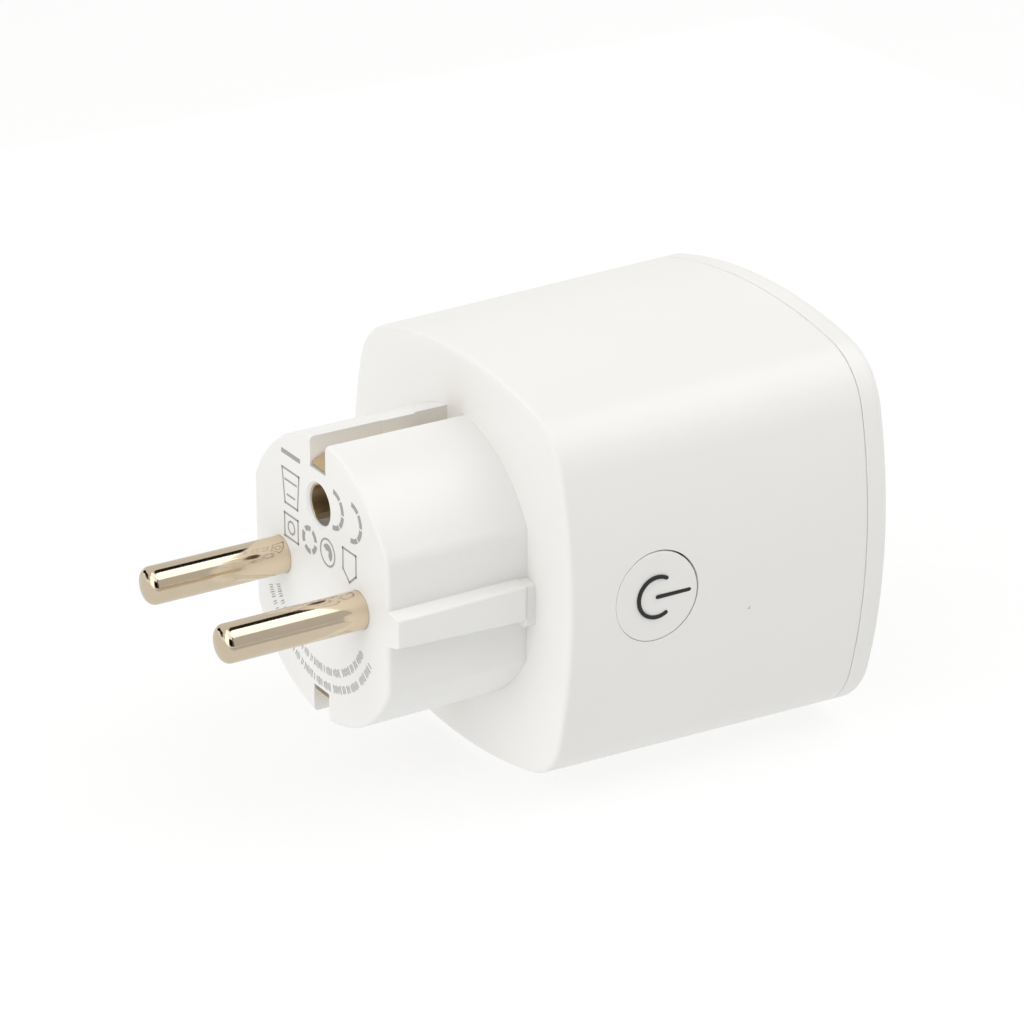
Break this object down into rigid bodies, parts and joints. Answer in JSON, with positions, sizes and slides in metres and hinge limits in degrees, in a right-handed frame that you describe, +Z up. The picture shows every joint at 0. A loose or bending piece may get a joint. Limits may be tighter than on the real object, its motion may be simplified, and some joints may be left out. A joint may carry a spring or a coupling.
{
  "type": "plug in power meter",
  "caption": "Plug-in power meter for earthed two-pin mains: round plug boss behind, crowned square body with a side button, shuttered earthed socket in front.",
  "frame": {"origin": "centre of the plug's face, midway between its two live pins", "axes": "+Z up as the plug stands with its earth hole above the pins, +X the side with the button, the pins point along -Y and the socket opens along +Y"},
  "size_m": [0.0538, 0.0845, 0.0538],
  "materials": {
    "shell_plastic": "fine satin moulded, warm white",
    "cover_plastic": "fine satin moulded, warm white",
    "boss_plastic": "smooth satin moulded, warm white",
    "button_plastic": "fine satin moulded, warm white",
    "diffuser": "smoked translucent",
    "pin_plating": "nickel-plated brass, bright, pale champagne",
    "brass": "bare rolled brass",
    "spring_bronze": "phosphor bronze sheet",
    "shutter_plastic": "acetal, white",
    "steel": "zinc-plated steel",
    "spring_steel": "drawn spring wire",
    "board": "glass-epoxy laminate, green solder mask",
    "black_plastic": "moulded, black",
    "solder": "tin solder",
    "gold_pins": "gold flash on brass",
    "shield": "tinned steel can",
    "capacitor_sleeve": "shrink sleeve, dark",
    "ferrite": "ferrite, dark grey",
    "copper": "enamelled copper wire",
    "safety_yellow": "yellow case",
    "varistor_blue": "blue epoxy coating",
    "resistor_green": "flameproof lacquer",
    "ceramic_grey": "sintered ceramic",
    "relay_plastic": "relay case, black",
    "relay_iron": "soft iron, nickel-plated",
    "bobbin_plastic": "natural nylon",
    "led_resin": "clear resin over phosphor"
  },
  "bodies": {
    "housing": {"main_shell": "shell_plastic", "socket_cover": "cover_plastic", "plug_boss": "boss_plastic", "line_pin": "pin_plating", "neutral_pin": "pin_plating", "earth_pin_sleeve": "brass", "earth_strip_top": "brass", "earth_strip_bottom": "brass", "earth_bridge": "brass", "earth_clip_top": "spring_bronze", "earth_clip_bottom": "spring_bronze", "earth_rivets": "brass", "line_contact": "spring_bronze", "neutral_contact": "spring_bronze", "shutter_spring": "spring_steel", "shutter_retainer": "shutter_plastic", "shutter_screws": "steel", "switch_body": "black_plastic", "switch_cover": "steel", "switch_dome": "spring_bronze", "status_led": "led_resin", "main_board": "board", "board_screws": "steel", "solder_joints": "solder", "control_board": "board", "header_pins": "gold_pins", "header_block": "black_plastic", "wifi_board": "board", "wifi_shield": "shield", "bulk_capacitor": "capacitor_sleeve", "output_capacitor": "capacitor_sleeve", "choke_core": "ferrite", "choke_winding": "copper", "safety_capacitor": "safety_yellow", "varistor": "varistor_blue", "fusible_resistor": "resistor_green", "bridge_rectifier": "black_plastic", "converter_chip": "black_plastic", "metering_chip": "black_plastic", "voltage_regulator": "black_plastic", "shunt_resistor": "copper", "chip_resistors": "ceramic_grey", "relay_base": "relay_plastic", "relay_case": "relay_plastic", "relay_terminals": "copper", "relay_bobbin": "bobbin_plastic", "relay_winding": "copper", "relay_core": "relay_iron", "relay_yoke": "relay_iron", "relay_fixed_contact": "copper"},
    "button": {"button_cap": "button_plastic", "button_diffuser": "diffuser"},
    "plunger": {"switch_plunger": "black_plastic"},
    "shutter": {"shutter_slider": "shutter_plastic"},
    "armature": {"relay_armature": "relay_iron", "relay_contact_arm": "spring_bronze"}
  },
  "joints": [
    {"name": "button_press", "type": "slide", "parent": "housing", "child": "button", "axis": [-1, 0, 0], "range_m": [0, 0.0005], "stiffness_N_per_m": 1500, "springref_m": -0.0005},
    {"name": "plunger_press", "type": "slide", "parent": "housing", "child": "plunger", "axis": [-1, 0, 0], "range_m": [0, 0.0005]},
    {"name": "shutter_slide", "type": "slide", "parent": "housing", "child": "shutter", "axis": [0, 0, -1], "range_m": [0, 0.0062], "stiffness_N_per_m": 120, "springref_m": -0.003, "deforming": ["shutter_spring"]},
    {"name": "armature_tilt", "type": "hinge", "parent": "housing", "child": "armature", "pos_m": [-0.0078, 0.0396, 0.0115], "axis": [0, 0, 1], "range_deg": [0, 2], "stiffness_Nm_per_rad": 0.02, "springref_deg": -5.73}
  ],
  "couplings": [
    {"joint": "plunger_press", "follows": "button_press", "ratio": 1}
  ]
}
